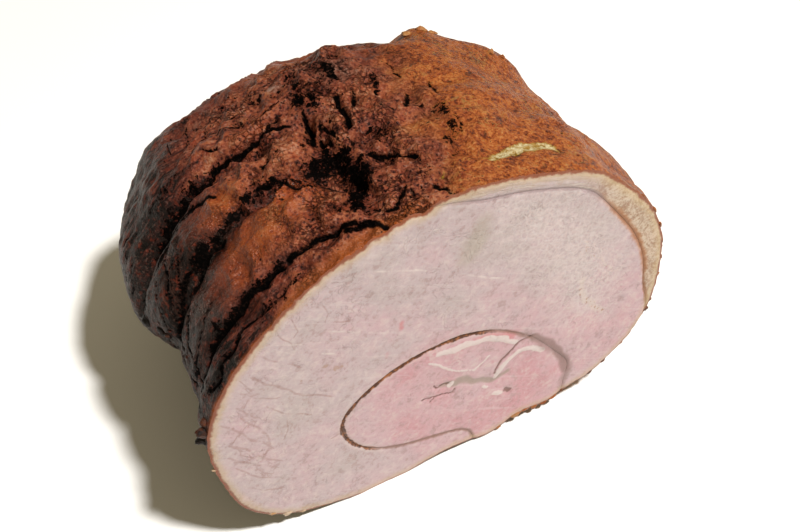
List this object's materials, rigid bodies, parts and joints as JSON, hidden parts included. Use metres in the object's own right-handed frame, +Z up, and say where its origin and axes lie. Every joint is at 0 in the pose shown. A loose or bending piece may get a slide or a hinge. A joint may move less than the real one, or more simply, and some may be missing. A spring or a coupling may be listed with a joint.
{
  "type": "roast veal roll",
  "caption": "Rolled and roasted veal joint lying on its underside, cut square across so that the rolled meat shows inside a dark, string-grooved crust, with a rounded uncut end.",
  "frame": {"origin": "on the surface that the roll rests on, under the middle of its box", "axes": "+X along the width of the cut face, to the right when it is looked at; +Y from the cut face into the roll, towards its rounded end; +Z up"},
  "size_m": [0.154, 0.1215, 0.1136],
  "materials": {
    "roast_outer": "dark brown roasted crust, satin with glossy fat, and pale grey-pink meat where it is cut",
    "roast_inner": "moist pink cut meat, satin",
    "roast_overlap": "orange-brown roasted crust, satin, and pale grainy meat where it is cut"
  },
  "bodies": {
    "root": {"wrap": "roast_outer", "core": "roast_inner", "flap": "roast_overlap"}
  },
  "joints": []
}
